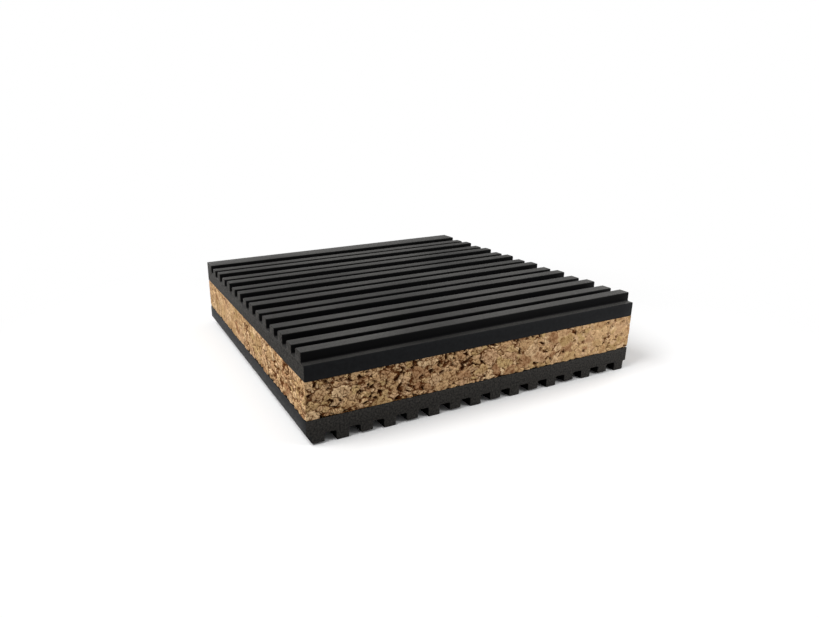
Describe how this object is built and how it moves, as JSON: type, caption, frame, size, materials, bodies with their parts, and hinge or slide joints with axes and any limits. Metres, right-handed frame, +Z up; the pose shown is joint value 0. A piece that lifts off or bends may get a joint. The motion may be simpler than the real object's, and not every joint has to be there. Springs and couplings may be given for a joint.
{
  "type": "anti vibration machine pad",
  "caption": "Flat near-square pad with a granulated cork core bonded between two ribbed rubber sheets, laid under a machine to damp vibration.",
  "frame": {"origin": "centre of the pad's outline, on the plane of the high bottom ribs' tips", "axes": "+Z up through the layers, +X along the top ribs, +Y across them towards the plain border of the top sheet"},
  "size_m": [0.1016, 0.098, 0.0232],
  "materials": {
    "rubber": "matte black ribbed rubber with saw-cut edges",
    "cork": "raw granulated cork, cut edges with open crevices between the granules"
  },
  "bodies": {
    "root": {"bottom_rubber_sheet": "rubber", "cork_core": "cork", "top_rubber_sheet": "rubber"}
  },
  "joints": []
}
